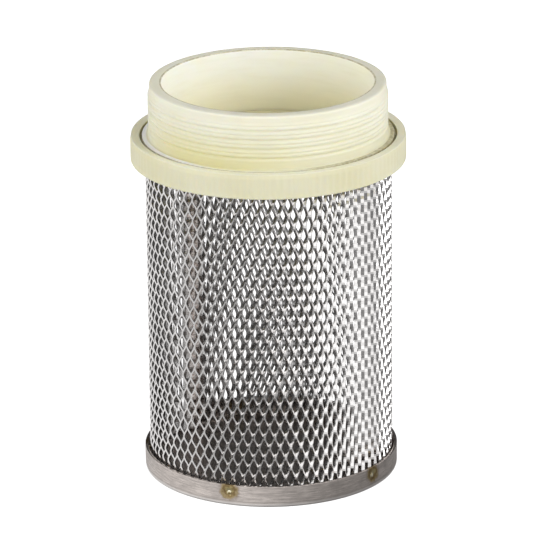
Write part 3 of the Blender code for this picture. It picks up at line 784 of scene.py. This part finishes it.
class ExpandedSheet:
    """The middle surface of an expanded-metal sheet rolled into a cylinder with a lap.

    A bond is the flat joint where four strands meet. Every bond and strand keeps the same sideways
    tilt, so the sheet steps out and in as real expanded metal does.
    """

    def __init__(self):
        depth = STRAND_WIDTH * math.sin(STRAND_TILT) + 0.5 * STRAND_SHEET * math.cos(STRAND_TILT)
        self.middle_radius = SCREEN_RADIUS - depth - 0.05
        self.lap_depth = 2.0 * depth
        self.half_columns = 2 * DIAMONDS_ROUND + LAP_HALF_DIAMONDS
        self.angle_step = 360.0 / (2 * DIAMONDS_ROUND + 0.5)
        self.half_width = math.radians(self.angle_step) * self.middle_radius
        self.bottom = SCREEN_LOW.z + BOND_LENGTH / 2
        self.row_step = LONG_WAY / 2
        self.half_rows = int((SCREEN_HIGH.z - self.bottom - BOND_LENGTH / 2) / self.row_step)
        self.lean = STRAND_WIDTH * math.cos(STRAND_TILT)
        self.rise = STRAND_WIDTH * math.sin(STRAND_TILT)
        self.points = []
        self.faces = []
        self.bonds = {}

    def place(self, across, level, out):
        """Store a point given its distance round the sheet, its level and its height off the sheet."""
        column = across / self.half_width
        lap = 1 - smoothstep((column - LAP_HALF_DIAMONDS) / LAP_RAMP)
        radius = self.middle_radius + out - self.lap_depth * lap
        self.points.append(polar(radius, self.azimuth(column), level))
        return len(self.points) - 1

    def azimuth(self, column):
        """Return the azimuth of a half diamond's column."""
        return SEAM_AZIMUTH + (column - LAP_HALF_DIAMONDS / 2) * self.angle_step

    def level(self, row):
        """Return the level of a half diamond's row."""
        return self.bottom + row * self.row_step

    def has_bond(self, column, row):
        """Return whether a lattice place holds a bond; the inner lap stops below the collar."""
        under_collar = self.level(row) > FLANGE_BOTTOM - 1.5
        is_lapped = column < LAP_HALF_DIAMONDS + LAP_RAMP
        return not (is_lapped and under_collar)

    def cross_points(self, across, level, sides, out=0.0):
        """Store points across a tilted strip; sides are in strand widths from its middle."""
        return [self.place(across + side * self.lean, level, out + side * self.rise) for side in sides]

    def add_bond(self, column, row):
        """Add a bond's plate and remember its lower and upper edges, left, middle and right."""
        across = column * self.half_width
        low = self.cross_points(across, self.level(row) - BOND_LENGTH / 2, (-1, 0, 1))
        high = self.cross_points(across, self.level(row) + BOND_LENGTH / 2, (-1, 0, 1))
        self.faces.append((low[0], low[1], high[1], high[0]))
        self.faces.append((low[1], low[2], high[2], high[1]))
        self.bonds[column, row] = (low, high)

    def add_strand(self, column, row, side):
        """Add the strand that climbs from a bond to its upper neighbour on one side."""
        _, start_edge = self.bonds[column, row]
        end_edge, _ = self.bonds[column + side, row + 1]
        previous = start_edge[1:] if side > 0 else start_edge[:2]
        end_pair = end_edge[:2] if side > 0 else end_edge[1:]
        start_level = self.level(row) + BOND_LENGTH / 2
        climb = self.row_step - BOND_LENGTH
        for step in range(1, STRAND_STEPS):
            share = step / STRAND_STEPS
            eased = STRAND_STRAIGHTNESS * share + (1 - STRAND_STRAIGHTNESS) * smoothstep(share)
            shift = side * (0.5 - eased)
            centre = (column + side * eased) * self.half_width + shift * self.lean
            pair = self.cross_points(centre, start_level + climb * share, (-0.5, 0.5), shift * self.rise)
            self.faces.append((previous[0], previous[1], pair[1], pair[0]))
            previous = pair
        self.faces.append((previous[0], previous[1], end_pair[1], end_pair[0]))

    def build(self):
        """Fill in the lattice."""
        for column in range(self.half_columns + 1):
            for row in range(self.half_rows + 1):
                if (column + row) % 2 == 0 and self.has_bond(column, row):
                    self.add_bond(column, row)
        for column, row in list(self.bonds):
            for side in (-1, 1):
                if (column + side, row + 1) in self.bonds:
                    self.add_strand(column, row, side)


def make_screen(material):
    """Build the screen: a sheet of expanded metal rolled up, lapped and given its thickness."""
    sheet = ExpandedSheet()
    sheet.build()
    mesh = bpy.data.meshes.new("screen_expanded_metal")
    mesh.from_pydata(sheet.points, [], sheet.faces)
    screen = link_object("screen_expanded_metal", mesh)
    solid = screen.modifiers.new("Sheet", "SOLIDIFY")
    solid.thickness = STRAND_SHEET * MM
    solid.offset = 0
    solid.use_even_offset = False
    settle(screen, material, "strainer_mesh")


def make_seam_spots(material):
    """Build the seam's weld spots, one on every row of bonds, in a run for each weld of the frame."""
    sheet = ExpandedSheet()
    rows_below_collar = int((FLANGE_BOTTOM - 2.0 - sheet.bottom) / sheet.row_step)
    rows_in_run = rows_below_collar // SEAM_RUNS
    for run in range(SEAM_RUNS):
        rows = range(run * rows_in_run + 2, (run + 1) * rows_in_run + 1)
        places = [(sheet.azimuth(LAP_HALF_DIAMONDS // 2 + row % 2), sheet.level(row)) for row in rows]
        spots = link_spots(f"seam_spots_{run + 1}", places, SCREEN_RADIUS - 3.0, SCREEN_RADIUS - 0.1, 0.7)
        settle(spots, material, f"seam_weld_{run + 1}")


def link_spots(name, places, inner_end, outer_end, radius):
    """Make weld nuggets, one at each azimuth and level: short radial pins with domed ends."""
    sides = 12
    upward = Vector((0, 0, 1))
    dome = ((0.35, 0.0), (0.72, 0.08), (0.93, 0.2), (1.0, 0.35))
    profile = [(share, inner_end + inset) for share, inset in dome]
    profile += [(share, outer_end - inset) for share, inset in reversed(dome)]
    points = []
    faces = []
    for azimuth, level in places:
        faces.extend(tube_faces(len(points), len(profile), sides))
        across = upward.cross(polar(1, azimuth, 0).normalized())
        for share, distance in profile:
            for side in range(sides):
                angle = 2 * math.pi * side / sides
                spoke = across * math.cos(angle) + upward * math.sin(angle)
                points.append(polar(distance, azimuth, level) + spoke * radius * share * MM)
    return link_mesh(name, points, faces)


# ---- bottom cap

CAP_WELDS = [f"cap_weld_{index}" for index in range(1, 6)]


def weld_place(node):
    """Return a cap weld's azimuth and level from the frame."""
    low, high = box_mm(node)
    centre = (low + high) / 2
    return math.degrees(math.atan2(centre.x, -centre.y)), centre.z


WELD_PLACES = [weld_place(node) for node in CAP_WELDS]


def dimple(radius, azimuth, level):
    """Press the rim in round each weld, inside a slightly raised ring."""
    pit_depth, pit_reach = 0.36, 0.95
    ring_height, ring_radius, ring_reach = 0.05, 1.7, 0.5
    depth = 0.0
    for weld_azimuth, weld_level in WELD_PLACES:
        turn = (azimuth - weld_azimuth + 180) % 360 - 180
        distance = math.hypot(math.radians(turn) * radius, level - weld_level)
        depth += pit_depth * math.exp(-(distance / pit_reach) ** 2)
        depth -= ring_height * math.exp(-((distance - ring_radius) / ring_reach) ** 2)
    share = smoothstep((radius - (CAP_RADIUS - 1.2)) / 0.4)
    return radius - depth * share, level


def make_cap(material):
    """Build the pressed cap with rounded corner, sheared rim edge and weld dimples."""
    wall = CAP_RADIUS - SHEET
    top = CAP_HIGH.z
    rows = 12
    corner = 1.0
    outer = [(CAP_RADIUS, corner + (top - 0.15 - corner) * row / rows) for row in range(1, rows)]
    inner = [(wall, top - 0.15 + (1.5 - top) * row / rows) for row in range(1, rows)]
    near_foot = CAP_RADIUS * 0.9
    foot = filleted([(near_foot, 0, 0), (CAP_RADIUS, 0, corner), (CAP_RADIUS, corner + 0.1, 0)], 6)[:-1]
    edge = filleted([
        (CAP_RADIUS, top - 0.2, 0),
        (CAP_RADIUS, top, 0.1),
        (wall, top, 0.1),
        (wall, top - 0.2, 0),
    ], 2)
    bend = filleted([(wall, 1.6, 0), (wall, SHEET, 0.7), (near_foot, SHEET, 0)], 5)
    outline = [(0, 0), (CAP_RADIUS * 0.5, 0)] + foot + outer + edge + inner + bend
    outline += [(CAP_RADIUS * 0.5, SHEET), (0, SHEET)]
    cap = turned("cap_pressing", outline, CAP_COLUMNS, dimple)
    settle(cap, material, "bottom_cap")


def make_cap_welds(material):
    """Build the nugget at the bottom of each dimple."""
    for node, place in zip(CAP_WELDS, WELD_PLACES):
        name = node.replace("weld", "bead")
        bead = link_spots(name, [place], SCREEN_RADIUS - 0.1, CAP_RADIUS - 0.12, 0.78)
        settle(bead, material, node)


# ---- seat and guide

def make_seat(material):
    """Build the dished seat ring, its three arms and the guide hub."""
    rim_bottom = SEAT_HIGH.z - 1.7
    rebate = SEAT_RADIUS - 1.15
    seat_level = SEAL_LOW.z - 0.3
    seat_bottom = seat_level - 1.6
    ring = turned("seat_moulding", filleted([
        (rebate, SEAT_HIGH.z, 0.2),
        (rebate - 1.75, SEAT_HIGH.z, 0.4),
        (SEAT_HOLE_RADIUS + 3.8, seat_level, 0.5),
        (SEAT_HOLE_RADIUS, seat_level, 0.25),
        (SEAT_HOLE_RADIUS, seat_bottom, 0.25),
        (SEAT_HOLE_RADIUS + 4.5, seat_bottom, 0.5),
        (SEAT_RADIUS - 2.1, rim_bottom, 0.4),
        (SEAT_RADIUS, rim_bottom, 0.2),
        (SEAT_RADIUS, rim_bottom + 0.5, 0.1),
        (rebate, rim_bottom + 0.5, 0.1),
    ]))
    pocket_radius = BUSH_HIGH.x + 0.4
    pocket_ceiling = HUB_TOP - 2.8
    hub_hole = STEM_RADIUS + 1.2
    hub = turned("hub_helper", filleted([
        (hub_hole, HUB_TOP, 0.2),
        (HUB_RADIUS, HUB_TOP, 0.5),
        (HUB_RADIUS, SEAT_LOW.z, 0.3),
        (pocket_radius, SEAT_LOW.z, 0.2),
        (pocket_radius, pocket_ceiling, 0.2),
        (hub_hole, pocket_ceiling, 0.1),
    ], 3), 64)
    arm_top = seat_bottom + 0.4
    arms = [make_arm(f"arm_helper_{index}", 120.0 * index, HUB_RADIUS - 0.6, arm_top) for index in range(3)]
    unite(ring, [hub, *arms])
    settle(ring, material, "valve_seat")


def make_arm(name, azimuth, inner, top):
    """Build one arm with rounded edges."""
    outer = SEAT_HOLE_RADIUS + 1.3
    depth = 2.6
    half_width = 1.1
    edge_reach = 0.35
    sizes = Vector((half_width * 2, outer - inner, depth)) * MM
    centre = Vector((0, -(inner + outer) / 2, top - depth / 2)) * MM
    turn = Matrix.Rotation(math.radians(azimuth), 3, "Z")
    data = bmesh.new()
    bmesh.ops.create_cube(data, size=1.0)
    bmesh.ops.scale(data, vec=sizes, verts=data.verts)
    bmesh.ops.bevel(data, geom=data.edges, offset=edge_reach * MM, segments=3, affect="EDGES", profile=0.5)
    bmesh.ops.translate(data, vec=centre, verts=data.verts)
    bmesh.ops.rotate(data, cent=(0, 0, 0), matrix=turn, verts=data.verts)
    mesh = bpy.data.meshes.new(name)
    data.to_mesh(mesh)
    data.free()
    return link_object(name, mesh)


def make_o_ring(material):
    """Build the seat's O-ring."""
    thickness = (O_RING_HIGH.z - O_RING_LOW.z) / 2
    centre_radius = O_RING_HIGH.x - thickness
    centre_level = O_RING_LOW.z + thickness
    sides = 16
    section = []
    for side in range(sides):
        angle = 2 * math.pi * side / sides
        radius = centre_radius + thickness * math.cos(angle)
        section.append((radius, centre_level + thickness * math.sin(angle)))
    ring = turned("o_ring_cord", section)
    settle(ring, material, "seat_o_ring")


def make_bush(material):
    """Build the flanged guide bush."""
    bore = STEM_RADIUS + 0.2
    wall = STEM_RADIUS + 0.9
    flange_top = BUSH_LOW.z + 0.6
    reach = 0.15
    bush = turned("bush_turning", filleted([
        (bore, BUSH_HIGH.z, reach),
        (wall, BUSH_HIGH.z, reach),
        (wall, flange_top, 0.1),
        (BUSH_HIGH.x, flange_top, reach),
        (BUSH_HIGH.x, BUSH_LOW.z, reach),
        (bore, BUSH_LOW.z, reach),
    ], 3), SMALL_COLUMNS)
    settle(bush, material, "guide_bush")


def make_spring(material):
    """Build the return spring as a fixed coil; the real spring shortens towards its fixed upper end as the
    poppet lifts.
    """
    coil_radius = SPRING_HIGH.x - SPRING_WIRE / 2
    length = SPRING_HIGH.z - SPRING_LOW.z
    closed = SPRING_WIRE * 1.25
    open_pitch = (length - SPRING_WIRE - 2 * closed) / (SPRING_TURNS - 2)
    steps_per_turn = 40
    path = []
    for step in range(SPRING_TURNS * steps_per_turn + 1):
        turn = step / steps_per_turn
        open_turns = min(max(turn - 1, 0), SPRING_TURNS - 2)
        rise = open_turns * open_pitch + (turn - open_turns) * closed
        path.append(polar(coil_radius, 360 * turn, SPRING_LOW.z + SPRING_WIRE / 2 + rise))
    spring = swept_wire("spring_coil", path, SPRING_WIRE / 2)
    settle(spring, material, "return_spring")
    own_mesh(spring)


# ---- poppet

def make_plate(material):
    """Build the poppet plate: a dome with a shallow ring recess, and a hollow spigot below."""
    plate_bottom = SEAL_HIGH.z + 0.3
    ceiling = HUB_TOP + 0.5
    hole = STEM_RADIUS + 0.3
    recess_inner, recess_outer = 9.0, 12.2
    dish_radius = 11.5
    plate = turned("plate_moulding", filleted([
        (hole, PLATE_HIGH.z, 0.2),
        (HUB_RADIUS + 0.4, PLATE_HIGH.z, 0.8),
        (recess_inner - 0.4, plate_bottom + 4.3, 0.3),
        (recess_inner, plate_bottom + 3.95, 0.3),
        (recess_outer, plate_bottom + 3.0, 0.3),
        (recess_outer + 0.5, plate_bottom + 3.15, 0.3),
        (PLATE_HIGH.x - 0.6, plate_bottom + 1.8, 0.4),
        (PLATE_HIGH.x, plate_bottom + 1.3, 0.3),
        (PLATE_HIGH.x, plate_bottom, 0.2),
        (SPIGOT_RADIUS, plate_bottom, 0.1),
        (SPIGOT_RADIUS, PLATE_LOW.z, 0.25),
        (SPIGOT_RADIUS - 1.6, PLATE_LOW.z, 0.25),
        (SPIGOT_RADIUS - 2.2, plate_bottom - 0.2, 0.4),
        (dish_radius, plate_bottom + 0.6, 0.8),
        (HUB_RADIUS + 1.2, ceiling, 0.8),
        (hole, ceiling, 0.2),
    ]))
    settle(plate, material, "poppet_plate", MOVING_BODY)


def make_ring(name, node, inner, reach, material, columns=ROUND_COLUMNS):
    """Build a flat ring that fills its frame box and moves with the poppet, with rounded edges."""
    low, high = box_mm(node)
    ring = turned(name, filleted([
        (inner, high.z, reach),
        (high.x, high.z, reach),
        (high.x, low.z, reach),
        (inner, low.z, reach),
    ]), columns)
    settle(ring, material, node, MOVING_BODY)


def make_stem(material):
    """Build the headed stem with its clip groove and a small dish in the head."""
    head_bottom = PLATE_HIGH.z + 0.3
    groove_top = CLIP_HIGH.z + 0.15
    groove_bottom = CLIP_LOW.z - 0.15
    groove = STEM_RADIUS - 0.4
    stem = turned("stem_turning", filleted([
        (0, STEM_HIGH.z - 0.5, 0),
        (1.1, STEM_HIGH.z - 0.5, 0.1),
        (1.4, STEM_HIGH.z, 0.2),
        (STEM_HIGH.x - 1.0, STEM_HIGH.z - 0.1, 0.7),
        (STEM_HIGH.x, STEM_HIGH.z - 0.8, 0.4),
        (STEM_HIGH.x, head_bottom, 0.2),
        (STEM_RADIUS, head_bottom, 0.1),
        (STEM_RADIUS, groove_top, 0.05),
        (groove, groove_top, 0.05),
        (groove, groove_bottom, 0.05),
        (STEM_RADIUS, groove_bottom, 0.05),
        (STEM_RADIUS, STEM_LOW.z + 0.5, 0.1),
        (STEM_RADIUS - 0.5, STEM_LOW.z, 0.1),
        (0, STEM_LOW.z, 0),
    ], 3), SMALL_COLUMNS)
    settle(stem, material, "poppet_stem", MOVING_BODY)


def make_clip(material):
    """Build the open retaining clip with rounded tips."""
    inner = STEM_RADIUS - 0.25
    outer = 3.4
    opening = 70
    steps = 48
    bevel = 0.08
    tip_pull, tip_steps = 0.35, 4
    low, high = CLIP_LOW.z, CLIP_HIGH.z
    points = []
    for step in range(steps + 1):
        azimuth = opening / 2 + (360 - opening) * step / steps
        pull = tip_pull * (1 - smoothstep(min(step, steps - step) / tip_steps))
        near, far = inner + pull, outer - pull
        section = (
            (near + bevel, high), (far - bevel, high), (far, high - bevel), (far, low + bevel),
            (far - bevel, low), (near + bevel, low), (near, low + bevel), (near, high - bevel),
        )
        points.extend(polar(radius, azimuth, level) for radius, level in section)
    clip = link_mesh("clip_stamping", points, tube_faces(0, steps + 1, len(section)))
    settle(clip, material, "stem_clip", MOVING_BODY)


# ---- studio

def make_floor():
    """Lay a plain pale floor that glows for the camera so it shows white; mirrored rays see it black, glowing
    as a painted reflection that is brighter to one side and for shallow rays.
    """
    half = 4000 * MM
    level = cad_low.z - 0.02 * MM
    corners = [(-half, -half, level), (half, -half, level), (half, half, level), (-half, half, level)]
    floor = link_mesh("studio_floor", corners, [(0, 1, 2, 3)])
    finish = Finish("pale_floor", 0.8)
    rays = finish.add("ShaderNodeLightPath", {}).outputs
    grain = finish.spread(finish.noise(60.0), 0.3, 0.7, 0.0, 1.0)
    colour = finish.blend(grain, (0.93, 0.93, 0.93), (0.90, 0.90, 0.90))
    # Painted reflection: mirrored rays see a black floor that glows by their direction, not the lit floor.
    colour = finish.blend(rays["Is Glossy Ray"], colour, (0.02, 0.02, 0.02))
    incoming = finish.add("ShaderNodeNewGeometry", {}).outputs["Incoming"]
    bright_side = polar(1, FLOOR_AZIMUTH, 0).normalized()
    facing = finish.measure("DOT_PRODUCT", incoming, tuple(-bright_side))
    steepness = finish.add("ShaderNodeSeparateXYZ", {"Vector": incoming}).outputs["Z"]
    mirrored = finish.product(
        finish.spread(facing, -0.8, 0.9, 0.24, 0.78),
        finish.spread(steepness, 0.40, 0.80, 1.0, 0.4),
        rays["Is Glossy Ray"],
    )
    glow = finish.calc("ADD", finish.product(rays["Is Camera Ray"], 0.6), mirrored)
    finish.wear(Base_Color=colour, Emission_Color=(1.0, 1.0, 1.0), Emission_Strength=glow)
    floor.data.materials.append(finish.material)


def make_world():
    """Surround the object with even pale light; metal mirrors a bright side and a dark side."""
    world = bpy.data.worlds.new("studio_world")
    nodes = Nodes(world)
    direction = nodes.add("ShaderNodeTexCoord", {}).outputs["Generated"]
    bright_side = polar(1, SKY_AZIMUTH, SKY_DIP).normalized()
    facing = nodes.measure("DOT_PRODUCT", direction, tuple(bright_side))
    mirrored = nodes.spread(facing, -0.35, 0.55, 0.05, 1.2)
    upwards = nodes.add("ShaderNodeSeparateXYZ", {"Vector": direction}).outputs["Z"]
    even = nodes.spread(upwards, 0.0, 1.0, 0.74, 0.42, smooth=False)
    is_mirrored = nodes.add("ShaderNodeLightPath", {}).outputs["Is Glossy Ray"]
    strength = nodes.add("ShaderNodeMix", {"Factor": is_mirrored, "A": even, "B": mirrored}).outputs["Result"]
    background = nodes.tree.nodes["Background"]
    nodes.feed(background.inputs["Color"], (1.0, 1.0, 1.0))
    nodes.feed(background.inputs["Strength"], strength)
    bpy.context.scene.world = world


def stand(obj, place, direction, roll=0.0):
    """Stand a light or camera at a place, turn it to a direction and roll it about that direction."""
    obj.location = place
    obj.rotation_mode = "QUATERNION"
    obj.rotation_quaternion = direction.to_track_quat("-Z", "Y") @ Quaternion((0, 0, 1), roll)


def add_softbox(name, azimuth, elevation, distance, size, power, mirrored):
    """Add a square area light that faces the object's middle."""
    data = bpy.data.lights.new(name, "AREA")
    data.shape = "SQUARE"
    data.size = size * MM
    data.energy = power
    target = Vector((0, 0, 50)) * MM
    steepness = math.radians(elevation)
    place = polar(distance * math.cos(steepness), azimuth, distance * math.sin(steepness))
    softbox = link_object(name, data)
    softbox.visible_glossy = mirrored
    stand(softbox, target + place, -place)


def add_bore_spot():
    """Add a narrow spot that shines down into the bore."""
    data = bpy.data.lights.new("bore_spot", "SPOT")
    data.energy = 16.0
    data.spot_size = math.radians(3.6)
    data.spot_blend = 0.6
    data.shadow_soft_size = 30 * MM
    spot = link_object("bore_spot", data)
    spot.visible_glossy = False
    offset = Vector((280, -50, 750)) * MM
    stand(spot, Vector((-3, 0, TOTAL_HEIGHT)) * MM + offset, -offset)


def make_camera():
    """Stand the camera in front and above, with a long lens and a slight roll."""
    elevation = math.radians(19.52)
    roll = math.radians(-0.54)
    distance = 1200
    aim = Vector((0, 0, 50.8))
    sideways = 1.35
    downwards = 0.95
    data = bpy.data.cameras.new("camera")
    data.sensor_width = 36.0
    data.lens = 313.7
    data.clip_start = 10 * MM
    data.clip_end = 20000 * MM
    camera = link_object("camera", data)
    back = Vector((0, -math.cos(elevation), math.sin(elevation)))
    right = Vector((1, 0, 0))
    up = right.cross(-back)
    stand(camera, (aim + back * distance + right * sideways - up * downwards) * MM, -back, roll)
    bpy.context.scene.camera = camera


def build():
    """Build every piece, then the studio."""
    ivory = nylon("ivory_nylon_moulded", IVORY)
    ivory_painted_shade = nylon("ivory_nylon_seat_painted_shade", IVORY_PAINTED_SHADE)
    steel = turned_steel()
    cap_steel = pressed_steel([polar(CAP_RADIUS, azimuth, level + 0.6) for azimuth, level in WELD_PLACES])
    screen_steel = expanded_steel()
    seam_tones = ((0.76, 0.60, 0.54), (0.95, 0.86, 0.82), (0.98, 0.94, 0.92))
    cap_tones = ((0.26, 0.19, 0.08), (0.60, 0.50, 0.28), (0.92, 0.88, 0.70))
    seam_weld = weld_metal("weld_nugget_seam", seam_tones, 0.1)
    cap_weld = weld_metal("weld_nugget_cap", cap_tones, 1.0)
    white = acetal()
    rubber = nitrile()
    wire = drawn_wire()

    make_collar(ivory)
    make_screen(screen_steel)
    make_seam_spots(seam_weld)
    make_cap(cap_steel)
    make_cap_welds(cap_weld)
    make_seat(ivory_painted_shade)
    make_o_ring(rubber)
    make_bush(white)
    make_spring(wire)
    make_plate(white)
    make_ring("seal_washer", "poppet_seal", SPIGOT_RADIUS + 0.3, 0.25, rubber)
    make_ring("retainer_washer", "seal_retainer", SPIGOT_RADIUS + 0.15, 0.12, steel)
    make_ring("cup_washer", "spring_cup", STEM_RADIUS + 0.2, 0.15, steel, SMALL_COLUMNS)
    make_stem(steel)
    make_clip(wire)

    make_floor()
    make_world()
    add_softbox("key", KEY_AZIMUTH, elevation=30, distance=1100, size=700, power=5.0, mirrored=True)
    add_softbox("fill", FILL_AZIMUTH, elevation=22, distance=1300, size=900, power=5.5, mirrored=False)
    add_bore_spot()
    make_camera()
    bpy.context.scene.view_settings.view_transform = "Standard"


build()
